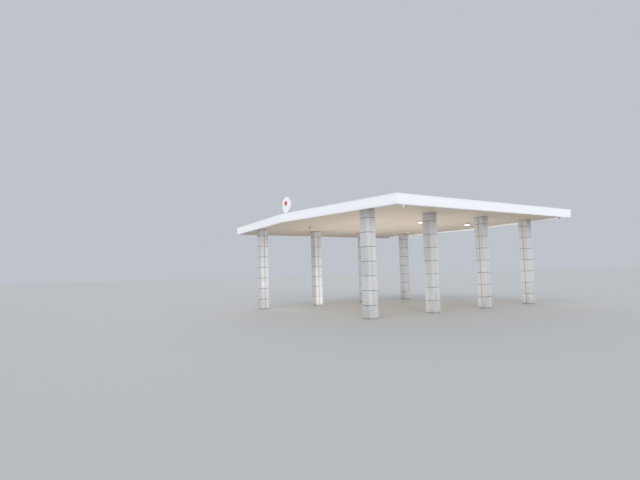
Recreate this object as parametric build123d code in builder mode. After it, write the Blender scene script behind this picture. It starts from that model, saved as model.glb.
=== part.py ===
from build123d import *
from math import atan2, cos, hypot, isclose
import os

# Filling station canopy: two rows of clad columns under a flat roof whose two ends run out
# to a shallow point. X runs along the column rows, Y from the front to the back, Z up.
# The floor is at Z = 0 and the middle of the roof is over the origin.

# Columns
COLUMNS_PER_ROW = 4
ROW_SPACING = 10800          # between the two rows
POST_SIDE = 250              # square hollow steel post
POST_WALL = 8
BASE_SIDE, BASE_THICK = 440, 20
ANCHOR_SPACING, ANCHOR_RADIUS = 340, 13
CAP_SIDE, CAP_THICK = 300, 20

# Cladding of a column
CLAD_SIDE = 525
CLAD_WALL = 30               # depth of a panel tray with its folded returns
PANEL_PITCH = 690            # height of a full row of panels
TOP_ROW = 385                # height of the cut row under the roof
JOINT, JOINT_DEPTH = 18, 12  # open joint between two panels
CARRIER_EVERY, CARRIER_HEIGHT = 3, 24  # a carrier frame behind every third joint
PLINTH_HEIGHT = 60
PLINTH_INSET = 10
COLLAR_HEIGHT = 25           # neck between the panels and the ceiling
COLLAR_INSET = 12
COLLAR_WALL = 20

# Roof outline
CEILING_Z = 5200             # underside of the ceiling
ROOF_LENGTH = 13880          # straight front edge
END_OVERHANG = 565           # from the axes of the outer columns to the ends of that edge
ROOF_DEPTH = 16100           # front edge to back edge
POINT = 1010                 # how far the point of each end stands out
FASCIA_HEIGHT = 490
FASCIA_DROP = 115            # part of the fascia that hangs below the ceiling

# Roof build-up, from the ceiling upwards
CEILING_THICK = 15
RAIL_HEIGHT, RAIL_WIDTH, RAIL_SHEET = 20, 40, 2
BEAM_HEIGHT, BEAM_WIDTH, BEAM_WEB, BEAM_FLANGE = 220, 110, 6, 9
BEAM_ROOT = 10               # radius between web and flange
PURLIN_SIZE, PURLIN_WALL = 50, 3
PURLIN_SPACING = 1450
DECK_RIB, DECK_PITCH, DECK_SHEET = 45, 333, 1.2
DECK_CROWN, DECK_FOOT = 55, 120  # width of a rib at its top and where it rises

# Fascia light box and the frame behind it
FACE_THICK = 6
TRIM_THICK = 8
LIP_THICK, LIP_HEIGHT = 3, 24  # lip of the trims that holds the face from outside
BOX_DEPTH = 104
TRAY_SHEET = 6
STRAP_THICK, STRAP_WIDTH = 6, 80
EDGE_WIDTH, EDGE_HEIGHT = 60, 100
EDGE_WEB, EDGE_FLANGE = 6, 8
MITRE_GAP = 2
EDGE_GAP = 2                 # from the straps to the ceiling and to the deck
TRIM_BAR_WIDTH, TRIM_BAR_THICK = 40, 8
GUTTER_WIDTH, GUTTER_HEIGHT, GUTTER_SHEET = 210, 45, 3
FLASHING_WIDTH, FLASHING_THICK = 160, 3

# Lit sign on each point of the roof
SIGN_WIDTH, SIGN_HEIGHT, SIGN_DEPTH, SIGN_FACE = 880, 930, 60, 6
SIGN_SETBACK = 290           # from the point of the roof to the face of the sign
SIGN_CLEAR = 10              # above the coping
SIGN_POST, SIGN_POST_WALL = 40, 3
SIGN_POST_SPACING = 400
SIGN_POST_CLEAR = 3          # round a post where it comes up through the roof sheet

# Lamps under the ceiling
LAMP_SIDE, LAMP_HEIGHT = 300, 80
LAMP_CORNER, LAMP_EDGE = 30, 8
LENS_SIDE, LENS_HEIGHT = 240, 60
LENS_CORNER, LENS_TAPER = 22, 25
LAMP_Y = ROW_SPACING / 4     # a lamp row runs halfway between a column row and the middle

# Small cabinet on the outer back column
CABINET_WIDTH, CABINET_HEIGHT, CABINET_DEPTH, CABINET_Z = 220, 330, 60, 1430
CABINET_EDGE = 6
CABINET_INSET = 10           # from the corner of the column
DOOR_MARGIN, DOOR_GAP = 14, 4  # frame round the door leaf and the groove round the leaf

# Spacing and heights that follow from the sizes above
COLUMN_PITCH = (ROOF_LENGTH - 2 * END_OVERHANG) / (COLUMNS_PER_ROW - 1)
CEILING_TOP = CEILING_Z + CEILING_THICK
BEAM_Z = CEILING_TOP + RAIL_HEIGHT
BEAM_TOP = BEAM_Z + BEAM_HEIGHT
DECK_Z = BEAM_TOP + PURLIN_SIZE
FASCIA_Z = CEILING_Z - FASCIA_DROP
FASCIA_TOP = FASCIA_Z + FASCIA_HEIGHT
CLAD_TOP = CEILING_Z - COLLAR_HEIGHT
CLAD_HOLLOW = CLAD_SIDE - 2 * CLAD_WALL

columns_x = [(i - (COLUMNS_PER_ROW - 1) / 2) * COLUMN_PITCH for i in range(COLUMNS_PER_ROW)]
rows_y = [-ROW_SPACING / 2, ROW_SPACING / 2]
column_spots = [(x, y) for y in rows_y for x in columns_x]
bays_x = [(a + b) / 2 for a, b in zip(columns_x, columns_x[1:])]
joint_heights = []
joint = CLAD_TOP - TOP_ROW
while joint > PLINTH_HEIGHT + PANEL_PITCH / 2:
    joint_heights.append(joint)
    joint -= PANEL_PITCH

# The roof outline is a six-cornered figure. These give its corners and its half length
# at any depth, both for the outer edge and for a line that runs inside it.
slant = atan2(POINT, ROOF_DEPTH / 2)


def half_length(y, inset=0):
    return ROOF_LENGTH / 2 + POINT * (1 - abs(y) / (ROOF_DEPTH / 2)) - inset / cos(slant)


def corners(inset=0):
    y = ROOF_DEPTH / 2 - inset
    x, tip = half_length(y, inset), half_length(0, inset)
    return [(-x, -y), (x, -y), (tip, 0), (x, y), (-x, y), (-tip, 0)]


def outline(inset):
    Polygon(*corners(inset), align=None)


def side_strip(side, outer, inner):
    """One side of a ring that follows the roof edge, mitred at both ends."""
    a, b = corners(outer)[side], corners(outer)[(side + 1) % 6]
    c, d = corners(inner)[(side + 1) % 6], corners(inner)[side]
    run = hypot(b[0] - a[0], b[1] - a[1])
    ux, uy = (b[0] - a[0]) / run * MITRE_GAP / 2, (b[1] - a[1]) / run * MITRE_GAP / 2
    Polygon((a[0] + ux, a[1] + uy), (b[0] - ux, b[1] - uy), (c[0] - ux, c[1] - uy),
            (d[0] + ux, d[1] + uy), align=None)


def save(part, name):
    part.label = name
    export_step(part, f"parts/{name}.step")


os.makedirs("parts", exist_ok=True)
side_names = ["front", "right_front", "right_back", "back", "left_back", "left_front"]

# Steel posts on anchored base plates, each with a cap plate that takes a beam
with BuildPart() as base_plates:
    with Locations(*column_spots):
        Box(BASE_SIDE, BASE_SIDE, BASE_THICK, align=(Align.CENTER, Align.CENTER, Align.MIN))
        with GridLocations(ANCHOR_SPACING, ANCHOR_SPACING, 2, 2):
            Hole(ANCHOR_RADIUS)
save(base_plates.part, "base_plates")

with BuildPart() as steel_posts:
    with BuildSketch(Plane.XY.offset(BASE_THICK)):
        with Locations(*column_spots):
            Rectangle(POST_SIDE, POST_SIDE)
            Rectangle(POST_SIDE - 2 * POST_WALL, POST_SIDE - 2 * POST_WALL, mode=Mode.SUBTRACT)
    extrude(amount=CEILING_TOP - BASE_THICK)
save(steel_posts.part, "steel_posts")

with BuildPart() as cap_plates:
    with BuildSketch(Plane.XY.offset(CEILING_TOP)):
        with Locations(*column_spots):
            Rectangle(CAP_SIDE, CAP_SIDE)
    extrude(amount=CAP_THICK)
save(cap_plates.part, "cap_plates")

# Carrier frames hold the panel trays off each post
with BuildPart() as cladding_frames:
    for height in joint_heights[::CARRIER_EVERY]:
        with BuildSketch(Plane.XY.offset(height - CARRIER_HEIGHT / 2)):
            with Locations(*column_spots):
                Rectangle(CLAD_HOLLOW, CLAD_HOLLOW)
                Rectangle(POST_SIDE, POST_SIDE, mode=Mode.SUBTRACT)
        extrude(amount=CARRIER_HEIGHT)
save(cladding_frames.part, "cladding_frames")

# Panel cladding of one column: rows of trays, two to a face, with open joints between
with BuildPart() as cladding:
    with BuildSketch(Plane.XY.offset(PLINTH_HEIGHT)):
        Rectangle(CLAD_SIDE, CLAD_SIDE)
        Rectangle(CLAD_HOLLOW, CLAD_HOLLOW, mode=Mode.SUBTRACT)
    extrude(amount=CLAD_TOP - PLINTH_HEIGHT)
    for height in joint_heights:
        with BuildSketch(Plane.XY.offset(height - JOINT / 2)):
            Rectangle(CLAD_SIDE, CLAD_SIDE)
            Rectangle(CLAD_SIDE - 2 * JOINT_DEPTH, CLAD_SIDE - 2 * JOINT_DEPTH, mode=Mode.SUBTRACT)
        extrude(amount=JOINT, mode=Mode.SUBTRACT)
    with BuildSketch(Plane.XY.offset(PLINTH_HEIGHT)):
        with PolarLocations(CLAD_SIDE / 2, 4):
            Rectangle(2 * JOINT_DEPTH, JOINT)
    extrude(amount=CLAD_TOP - PLINTH_HEIGHT, mode=Mode.SUBTRACT)

for row, y in zip(("front", "back"), rows_y):
    for number, x in enumerate(columns_x, start=1):
        with BuildPart() as column_cladding:
            with Locations((x, y, 0)):
                add(cladding.part)
        save(column_cladding.part, f"cladding_{row}_{number}")

with BuildPart() as column_plinths:
    plinth_side = CLAD_SIDE - 2 * PLINTH_INSET
    with BuildSketch():
        with Locations(*column_spots):
            Rectangle(plinth_side, plinth_side)
            Rectangle(CLAD_HOLLOW, CLAD_HOLLOW, mode=Mode.SUBTRACT)
    extrude(amount=PLINTH_HEIGHT)
save(column_plinths.part, "column_plinths")

with BuildPart() as column_collars:
    collar_side = CLAD_SIDE - 2 * COLLAR_INSET
    with BuildSketch(Plane.XY.offset(CLAD_TOP)):
        with Locations(*column_spots):
            Rectangle(collar_side, collar_side)
            Rectangle(collar_side - 2 * COLLAR_WALL, collar_side - 2 * COLLAR_WALL, mode=Mode.SUBTRACT)
    extrude(amount=COLLAR_HEIGHT)
save(column_collars.part, "column_collars")


def beside_web(edge):
    off = min(abs(edge.center().X - x) for x in columns_x)
    return isclose(off, BEAM_WEB / 2, rel_tol=1 / BEAM_WIDTH)


# Rolled beams run from front to back over the posts, with purlins across them
edge_inner = BOX_DEPTH + STRAP_THICK + EDGE_WIDTH
with BuildPart() as cross_beams:
    beam_run = ROOF_DEPTH - 2 * edge_inner
    with BuildSketch(Plane.XZ.offset(-beam_run / 2)):
        for x in columns_x:
            with Locations((x, BEAM_Z + BEAM_HEIGHT / 2)):
                Rectangle(BEAM_WEB, BEAM_HEIGHT)
                with GridLocations(0, BEAM_HEIGHT - BEAM_FLANGE, 1, 2):
                    Rectangle(BEAM_WIDTH, BEAM_FLANGE)
    extrude(amount=beam_run)
    fillet([edge for edge in cross_beams.edges().filter_by(Axis.Y) if beside_web(edge)], BEAM_ROOT)
save(cross_beams.part, "cross_beams")

edge_gap = BOX_DEPTH + STRAP_THICK + EDGE_GAP
purlin_lines = int((ROOF_DEPTH / 2 - edge_inner - GUTTER_WIDTH) // PURLIN_SPACING)
purlins_y = [i * PURLIN_SPACING for i in range(-purlin_lines, purlin_lines + 1)]
with BuildPart() as purlins:
    bore = PURLIN_SIZE - 2 * PURLIN_WALL
    for y in purlins_y:
        reach = half_length(abs(y) + PURLIN_SIZE / 2, edge_gap)
        with Locations((0, y, BEAM_TOP + PURLIN_SIZE / 2)):
            Box(2 * reach, PURLIN_SIZE, PURLIN_SIZE)
            Box(2 * reach, bore, bore, mode=Mode.SUBTRACT)
save(purlins.part, "purlins")

# Channels round the roof, open to the inside, close the beam ends and carry the fascia
with BuildPart() as edge_frame:
    with BuildSketch(Plane.XY.offset(BEAM_TOP - EDGE_HEIGHT)):
        for side in range(6):
            side_strip(side, BOX_DEPTH + STRAP_THICK, edge_inner)
    extrude(amount=EDGE_HEIGHT)
    with BuildSketch(Plane.XY.offset(BEAM_TOP - EDGE_HEIGHT + EDGE_FLANGE)):
        for side in range(6):
            side_strip(side, BOX_DEPTH + STRAP_THICK + EDGE_WEB, edge_inner)
    extrude(amount=EDGE_HEIGHT - 2 * EDGE_FLANGE, mode=Mode.SUBTRACT)
save(edge_frame.part, "edge_frame")

# Ceiling on open rails under the beams, with a square hole for each post
with BuildPart() as ceiling_rails:
    for y in purlins_y:
        reach = half_length(abs(y) + RAIL_WIDTH / 2, edge_gap)
        with Locations((0, y, CEILING_TOP)):
            Box(2 * reach, RAIL_WIDTH, RAIL_HEIGHT, align=(Align.CENTER, Align.CENTER, Align.MIN))
        with Locations((0, y, CEILING_TOP + RAIL_SHEET)):
            Box(2 * reach, RAIL_WIDTH - 2 * RAIL_SHEET, RAIL_HEIGHT,
                align=(Align.CENTER, Align.CENTER, Align.MIN), mode=Mode.SUBTRACT)
save(ceiling_rails.part, "ceiling_rails")

with BuildPart() as ceiling:
    with BuildSketch(Plane.XY.offset(CEILING_Z)):
        outline(edge_gap)
        with Locations(*column_spots):
            Rectangle(POST_SIDE, POST_SIDE, mode=Mode.SUBTRACT)
    extrude(amount=CEILING_THICK)
save(ceiling.part, "ceiling")

with BuildPart() as ceiling_edge_trim:
    with BuildSketch(Plane.XY.offset(CEILING_Z - TRIM_BAR_THICK)):
        for side in range(6):
            side_strip(side, edge_gap, edge_gap + TRIM_BAR_WIDTH)
    extrude(amount=TRIM_BAR_THICK)
save(ceiling_edge_trim.part, "ceiling_edge_trim")

# The sign posts stand on tubes between the purlins and come up through the roof sheet
sign_back = half_length(0) - SIGN_SETBACK - SIGN_DEPTH


def sign_post_squares(clearance, mode):
    with GridLocations(2 * sign_back - SIGN_POST, SIGN_POST_SPACING, 2, 2):
        Rectangle(SIGN_POST + 2 * clearance, SIGN_POST + 2 * clearance, mode=mode)


# Ribbed roof sheet on the purlins, cut to the roof outline, draining to a gutter
# along the front and the back
deck_end = ROOF_DEPTH / 2 - edge_gap - GUTTER_WIDTH + PURLIN_SIZE
with BuildPart() as roof_deck:
    ribs = int(2 * half_length(0) // DECK_PITCH) + 1
    start = -ribs * DECK_PITCH / 2
    with BuildSketch(Plane.XZ.offset(-deck_end)):
        with BuildLine():
            points = [(start, DECK_Z)]
            for i in range(ribs):
                middle = start + (i + 0.5) * DECK_PITCH
                top = DECK_Z + DECK_RIB - DECK_SHEET
                points += [(middle - DECK_FOOT / 2, DECK_Z), (middle - DECK_CROWN / 2, top),
                           (middle + DECK_CROWN / 2, top), (middle + DECK_FOOT / 2, DECK_Z)]
            points.append((start + ribs * DECK_PITCH, DECK_Z))
            lower = Polyline(*points)
            upper = Polyline(*[(x, z + DECK_SHEET) for x, z in points])
            Line(lower @ 0, upper @ 0)
            Line(lower @ 1, upper @ 1)
        make_face()
    extrude(amount=2 * deck_end)
    with BuildSketch(Plane.XY.offset(DECK_Z)):
        outline(edge_gap)
        sign_post_squares(SIGN_POST_CLEAR, Mode.SUBTRACT)
    extrude(amount=DECK_RIB, mode=Mode.INTERSECT)
save(roof_deck.part, "roof_deck")

with BuildPart() as gutters:
    middle = ROOF_DEPTH / 2 - edge_inner - GUTTER_WIDTH / 2
    reach = half_length(ROOF_DEPTH / 2 - edge_inner, edge_gap)
    with Locations((0, -middle, BEAM_TOP), (0, middle, BEAM_TOP)):
        Box(2 * reach, GUTTER_WIDTH, GUTTER_HEIGHT, align=(Align.CENTER, Align.CENTER, Align.MIN))
    with Locations((0, -middle, BEAM_TOP + GUTTER_SHEET), (0, middle, BEAM_TOP + GUTTER_SHEET)):
        Box(2 * (reach - GUTTER_SHEET), GUTTER_WIDTH - 2 * GUTTER_SHEET, GUTTER_HEIGHT,
            align=(Align.CENTER, Align.CENTER, Align.MIN), mode=Mode.SUBTRACT)
save(gutters.part, "gutters")

with BuildPart() as end_flashings:
    with BuildSketch(Plane.XY.offset(DECK_Z + DECK_RIB)):
        for side in (1, 2, 4, 5):
            side_strip(side, edge_gap, edge_gap + FLASHING_WIDTH)
        Rectangle(3 * ROOF_LENGTH, 2 * deck_end, mode=Mode.INTERSECT)
    extrude(amount=FLASHING_THICK)
save(end_flashings.part, "end_flashings")

# Fascia: a light box round the whole roof, hung on straps from the edge frame
with BuildPart() as fascia_straps:
    for side in range(6):
        a, b = corners(BOX_DEPTH)[side], corners(BOX_DEPTH)[(side + 1) % 6]
        run = hypot(b[0] - a[0], b[1] - a[1])
        count = max(2, round(run / PURLIN_SPACING))
        along = Plane(origin=((a[0] + b[0]) / 2, (a[1] + b[1]) / 2, FASCIA_Z + TRIM_THICK),
                      x_dir=(b[0] - a[0], b[1] - a[1], 0), z_dir=(0, 0, 1))
        with BuildSketch(along):
            with Locations((0, STRAP_THICK / 2)):
                with GridLocations(run / count, 0, count, 1):
                    Rectangle(STRAP_WIDTH, STRAP_THICK)
        extrude(amount=FASCIA_HEIGHT - 2 * TRIM_THICK)
save(fascia_straps.part, "fascia_straps")

with BuildPart() as fascia_trays:
    with BuildSketch(Plane.XY.offset(FASCIA_Z + TRIM_THICK)):
        for side in range(6):
            side_strip(side, BOX_DEPTH - TRAY_SHEET, BOX_DEPTH)
    extrude(amount=FASCIA_HEIGHT - 2 * TRIM_THICK)
save(fascia_trays.part, "fascia_trays")

for side, name in enumerate(side_names):
    with BuildPart() as fascia_face:
        with BuildSketch(Plane.XY.offset(FASCIA_Z + TRIM_THICK)):
            side_strip(side, LIP_THICK, LIP_THICK + FACE_THICK)
        extrude(amount=FASCIA_HEIGHT - 2 * TRIM_THICK)
    save(fascia_face.part, f"fascia_{name}")

# Trims below and above the faces: a flat web, and a lip that the face stands behind
for name, edge_z, inward in (("fascia_bottom_trim", FASCIA_Z, 1), ("fascia_coping", FASCIA_TOP, -1)):
    with BuildPart() as trim:
        with BuildSketch(Plane.XY.offset(edge_z)):
            for side in range(6):
                side_strip(side, 0, BOX_DEPTH)
        extrude(amount=inward * TRIM_THICK)
        with BuildSketch(Plane.XY.offset(edge_z)):
            for side in range(6):
                side_strip(side, 0, LIP_THICK)
        extrude(amount=inward * LIP_HEIGHT)
    save(trim.part, name)

# A lit sign faces outwards on each point of the roof, fixed to two of the posts
sign_z = FASCIA_TOP + SIGN_CLEAR + SIGN_HEIGHT / 2
with BuildPart() as sign_posts:
    with BuildSketch(Plane.XY.offset(DECK_Z)):
        sign_post_squares(0, Mode.ADD)
        sign_post_squares(-SIGN_POST_WALL, Mode.SUBTRACT)
    extrude(amount=sign_z - DECK_Z)
    with Locations((0, 0, BEAM_TOP + PURLIN_SIZE / 2)):
        with GridLocations(2 * sign_back - SIGN_POST, PURLIN_SPACING, 2, 2):
            Box(PURLIN_SIZE, PURLIN_SPACING - PURLIN_SIZE, PURLIN_SIZE)
            Box(bore, PURLIN_SPACING - PURLIN_SIZE, bore, mode=Mode.SUBTRACT)
save(sign_posts.part, "sign_posts")

for name, outward in (("left", -1), ("right", 1)):
    with BuildPart() as sign_case:
        back = Plane(origin=(outward * sign_back, 0, sign_z), x_dir=(0, 1, 0), z_dir=(outward, 0, 0))
        with BuildSketch(back):
            Ellipse(SIGN_WIDTH / 2, SIGN_HEIGHT / 2)
        extrude(amount=SIGN_DEPTH - SIGN_FACE)
        with BuildSketch(back.offset(SIGN_FACE)):
            Ellipse(SIGN_WIDTH / 2 - SIGN_FACE, SIGN_HEIGHT / 2 - SIGN_FACE)
        extrude(amount=SIGN_DEPTH - 2 * SIGN_FACE, mode=Mode.SUBTRACT)
    save(sign_case.part, f"sign_case_{name}")
    with BuildPart() as sign_face:
        with BuildSketch(back.offset(SIGN_DEPTH - SIGN_FACE)):
            Ellipse(SIGN_WIDTH / 2, SIGN_HEIGHT / 2)
        extrude(amount=SIGN_FACE)
    save(sign_face.part, f"sign_face_{name}")

# Lamps on the ceiling, over the middle of each bay
lamp_spots = [(x, y) for y in (-LAMP_Y, LAMP_Y) for x in bays_x]
with BuildPart() as lamp_housings:
    with BuildSketch(Plane.XY.offset(CEILING_Z)) as lamp_plan:
        with Locations(*lamp_spots):
            Rectangle(LAMP_SIDE, LAMP_SIDE)
        chamfer(lamp_plan.vertices(), LAMP_CORNER)
    extrude(amount=-LAMP_HEIGHT)
    chamfer(lamp_housings.edges().group_by(Axis.Z)[0], LAMP_EDGE)
save(lamp_housings.part, "lamp_housings")

with BuildPart() as lamp_lenses:
    with BuildSketch(Plane.XY.offset(CEILING_Z - LAMP_HEIGHT)) as lens_plan:
        with Locations(*lamp_spots):
            Rectangle(LENS_SIDE, LENS_SIDE)
        chamfer(lens_plan.vertices(), LENS_CORNER)
    extrude(amount=-LENS_HEIGHT, taper=LENS_TAPER)
save(lamp_lenses.part, "lamp_lenses")

# Small cabinet on the outer column of the back row, with a groove round its door leaf
with BuildPart() as cabinet:
    face_y = rows_y[1] - CLAD_SIDE / 2
    left = columns_x[0] - CLAD_SIDE / 2 + CABINET_INSET
    with Locations((left, face_y, CABINET_Z)):
        Box(CABINET_WIDTH, CABINET_DEPTH, CABINET_HEIGHT, align=(Align.MIN, Align.MAX, Align.MIN))
    chamfer(cabinet.edges().group_by(Axis.Y)[0], CABINET_EDGE)
    with BuildSketch(Plane.XZ.offset(CABINET_DEPTH - face_y)):
        with Locations((left + CABINET_WIDTH / 2, CABINET_Z + CABINET_HEIGHT / 2)):
            leaf = CABINET_WIDTH - 2 * DOOR_MARGIN, CABINET_HEIGHT - 2 * DOOR_MARGIN
            Rectangle(*leaf)
            Rectangle(leaf[0] - 2 * DOOR_GAP, leaf[1] - 2 * DOOR_GAP, mode=Mode.SUBTRACT)
    extrude(amount=-DOOR_GAP, mode=Mode.SUBTRACT)
save(cabinet.part, "cabinet")
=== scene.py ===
import math
import random

import bmesh
import bpy
from mathutils import Matrix, Vector


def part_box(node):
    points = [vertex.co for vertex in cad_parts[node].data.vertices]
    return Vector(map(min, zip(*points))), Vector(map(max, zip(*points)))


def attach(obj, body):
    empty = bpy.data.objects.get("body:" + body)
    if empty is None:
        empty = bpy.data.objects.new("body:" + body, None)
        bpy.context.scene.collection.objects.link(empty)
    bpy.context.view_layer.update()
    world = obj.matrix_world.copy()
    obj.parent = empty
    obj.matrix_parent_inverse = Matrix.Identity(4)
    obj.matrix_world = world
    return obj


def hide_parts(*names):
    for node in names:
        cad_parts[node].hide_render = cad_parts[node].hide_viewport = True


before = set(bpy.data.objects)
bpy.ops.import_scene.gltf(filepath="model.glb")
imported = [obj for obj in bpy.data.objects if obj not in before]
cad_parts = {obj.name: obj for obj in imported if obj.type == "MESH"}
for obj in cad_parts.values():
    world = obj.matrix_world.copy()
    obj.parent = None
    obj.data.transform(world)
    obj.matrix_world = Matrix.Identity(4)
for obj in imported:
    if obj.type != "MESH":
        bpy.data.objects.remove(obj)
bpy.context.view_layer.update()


# Feet: square base plates of hot-dip galvanised steel. Each is held down on the foundation by
# four anchor bolts with a washer and a nut, which the plinth of the column hides.
ANCHOR_SPACING = 0.340
ANCHOR_RADIUS = 0.012
ANCHOR_TOP = 0.058
NUT_RADIUS, NUT_HEIGHT = 0.021, 0.019
WASHER_RADIUS, WASHER_HEIGHT = 0.024, 0.004
ZINC = (0.50, 0.51, 0.53)
ZINC_DARK, ZINC_LIGHT, ZINC_DULL = (0.44, 0.45, 0.47), (0.56, 0.57, 0.59), (0.36, 0.36, 0.35)
SPANGLE_PER_METRE = 45
PLATED, RUST = (0.55, 0.55, 0.54), (0.22, 0.10, 0.05)


def start_material(name, colour, roughness, metallic=0.0):
    material = bpy.data.materials.new(name)
    material.use_nodes = True
    shader = material.node_tree.nodes["Principled BSDF"]
    shader.inputs["Base Color"].default_value = (*colour, 1)
    shader.inputs["Roughness"].default_value = roughness
    shader.inputs["Metallic"].default_value = metallic
    return material, material.node_tree, shader


def place_on_piece(tree, stretch=(1, 1, 1)):
    """The piece's own coordinates, drawn out along an axis where stretch is small."""
    place = tree.nodes.new("ShaderNodeTexCoord")
    mapping = tree.nodes.new("ShaderNodeMapping")
    mapping.inputs["Scale"].default_value = stretch
    tree.links.new(place.outputs["Object"], mapping.inputs["Vector"])
    return mapping.outputs["Vector"]


def noise_on_piece(tree, scale, detail=2.0, stretch=(1, 1, 1)):
    noise = tree.nodes.new("ShaderNodeTexNoise")
    noise.inputs["Scale"].default_value = scale
    noise.inputs["Detail"].default_value = detail
    tree.links.new(place_on_piece(tree, stretch), noise.inputs["Vector"])
    return noise.outputs["Fac"]


def remap(tree, value, low, high, to_low, to_high):
    node = tree.nodes.new("ShaderNodeMapRange")
    tree.links.new(value, node.inputs["Value"])
    for name, number in (("From Min", low), ("From Max", high), ("To Min", to_low), ("To Max", to_high)):
        node.inputs[name].default_value = number
    return node.outputs["Result"]


def combine(tree, operation, first, second):
    node = tree.nodes.new("ShaderNodeMath")
    node.operation = operation
    for socket, value in zip(node.inputs, (first, second)):
        if isinstance(value, (int, float)):
            socket.default_value = value
        else:
            tree.links.new(value, socket)
    return node.outputs["Value"]


MIX_FIRST, MIX_SECOND, MIX_RESULT = 6, 7, 2


def mix_colours(tree, factor, first, second):
    """The mix node's colour sockets go by number, because its other kinds share their names."""
    node = tree.nodes.new("ShaderNodeMix")
    node.data_type = "RGBA"
    tree.links.new(factor, node.inputs["Factor"])
    for index, colour in ((MIX_FIRST, first), (MIX_SECOND, second)):
        if isinstance(colour, tuple):
            node.inputs[index].default_value = (*colour, 1)
        else:
            tree.links.new(colour, node.inputs[index])
    return node.outputs[MIX_RESULT]


def add_bump(tree, shader, height, distance, strength=1.0):
    node = tree.nodes.new("ShaderNodeBump")
    node.inputs["Distance"].default_value = distance
    node.inputs["Strength"].default_value = strength
    tree.links.new(height, node.inputs["Height"])
    tree.links.new(node.outputs["Normal"], shader.inputs["Normal"])


def galvanised_steel():
    """Zinc with its crystal pattern, dulled in patches by weather."""
    material, tree, shader = start_material("galvanised_steel", ZINC, 0.42, metallic=0.85)
    crystals = tree.nodes.new("ShaderNodeTexVoronoi")
    crystals.inputs["Scale"].default_value = SPANGLE_PER_METRE
    tree.links.new(place_on_piece(tree), crystals.inputs["Vector"])
    shade = remap(tree, crystals.outputs["Distance"], 0.1, 0.8, 0.0, 1.0)
    zinc = mix_colours(tree, shade, ZINC_DARK, ZINC_LIGHT)
    dull = remap(tree, noise_on_piece(tree, 3.0, 5.0), 0.45, 0.75, 0.0, 0.6)
    tree.links.new(mix_colours(tree, dull, zinc, ZINC_DULL), shader.inputs["Base Color"])
    tree.links.new(remap(tree, dull, 0.0, 0.6, 0.34, 0.62), shader.inputs["Roughness"])
    return material


def plain_steel():
    """Zinc-plated bolts and screws with a few brown specks of rust."""
    material, tree, shader = start_material("plated_fasteners", PLATED, 0.35, metallic=0.9)
    rust = remap(tree, noise_on_piece(tree, 60.0, 4.0), 0.62, 0.72, 0.0, 1.0)
    tree.links.new(mix_colours(tree, rust, PLATED, RUST), shader.inputs["Base Color"])
    tree.links.new(remap(tree, rust, 0.0, 1.0, 0.30, 0.80), shader.inputs["Roughness"])
    return material


def finish_node(name, material):
    """Gives a piece of the frame its finish and leaves its mesh as it is."""
    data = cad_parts[name].data
    data.materials.clear()
    data.materials.append(material)


def add_piece(shape, name, materials, replaced=()):
    """Turns a shape into a piece of the canopy, with its place in its mesh."""
    bmesh.ops.recalc_face_normals(shape, faces=shape.faces)
    data = bpy.data.meshes.new(name)
    shape.to_mesh(data)
    shape.free()
    for material in materials:
        data.materials.append(material)
    piece = bpy.data.objects.new(name, data)
    bpy.context.scene.collection.objects.link(piece)
    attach(piece, "root")
    if replaced:
        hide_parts(*replaced)
    return piece


def add_prism(shape, sides, radius, place, height, turn=Matrix()):
    """A short round or many-sided bar that stands on its place along the turned Z axis."""
    bmesh.ops.create_cone(
        shape, cap_ends=True, cap_tris=False, segments=sides, radius1=radius, radius2=radius,
        depth=height, matrix=Matrix.Translation(place) @ turn @ Matrix.Translation((0, 0, height / 2)))


def column_centres(row):
    """The middles of a row's columns, from the boxes of their cladding."""
    corners = [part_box(f"cladding_{row}_{number}") for number in (1, 2, 3, 4)]
    return [(low + high) / 2 for low, high in corners]


zinc = galvanised_steel()
fasteners = plain_steel()
finish_node("base_plates", zinc)
plate_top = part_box("base_plates")[1].z
nut_top = plate_top + WASHER_HEIGHT + NUT_HEIGHT
centres = column_centres("front") + column_centres("back")
bolts = bmesh.new()
for centre in centres:
    for side_x in (-1, 1):
        for side_y in (-1, 1):
            x = centre.x + side_x * ANCHOR_SPACING / 2
            y = centre.y + side_y * ANCHOR_SPACING / 2
            add_prism(bolts, 16, WASHER_RADIUS, (x, y, plate_top), WASHER_HEIGHT)
            add_prism(bolts, 6, NUT_RADIUS, (x, y, plate_top + WASHER_HEIGHT), NUT_HEIGHT)
            add_prism(bolts, 12, ANCHOR_RADIUS, (x, y, nut_top), ANCHOR_TOP - nut_top)
add_piece(bolts, "anchor_bolts", [fasteners])


# Posts: square hollow sections with a welded cap plate, painted with grey primer. Only the
# carrier frames of the cladding touch them, so the paint is whole, with dust on flat parts.
PRIMER = (0.30, 0.31, 0.33)
PRIMER_DARK, PRIMER_LIGHT = (0.25, 0.26, 0.28), (0.35, 0.355, 0.37)


def grey_primer():
    material, tree, shader = start_material("grey_primer", PRIMER, 0.68)
    cloud = noise_on_piece(tree, 2.2, 6.0)
    paint = mix_colours(tree, remap(tree, cloud, 0.35, 0.7, 0.0, 1.0), PRIMER_DARK, PRIMER_LIGHT)
    tree.links.new(paint, shader.inputs["Base Color"])
    tree.links.new(remap(tree, cloud, 0.3, 0.7, 0.6, 0.82), shader.inputs["Roughness"])
    add_bump(tree, shader, noise_on_piece(tree, 180.0, 2.0), 0.0004)
    return material


primer = grey_primer()
for node in ("steel_posts", "cap_plates", "sign_posts"):
    finish_node(node, primer)
finish_node("cladding_frames", zinc)


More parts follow.
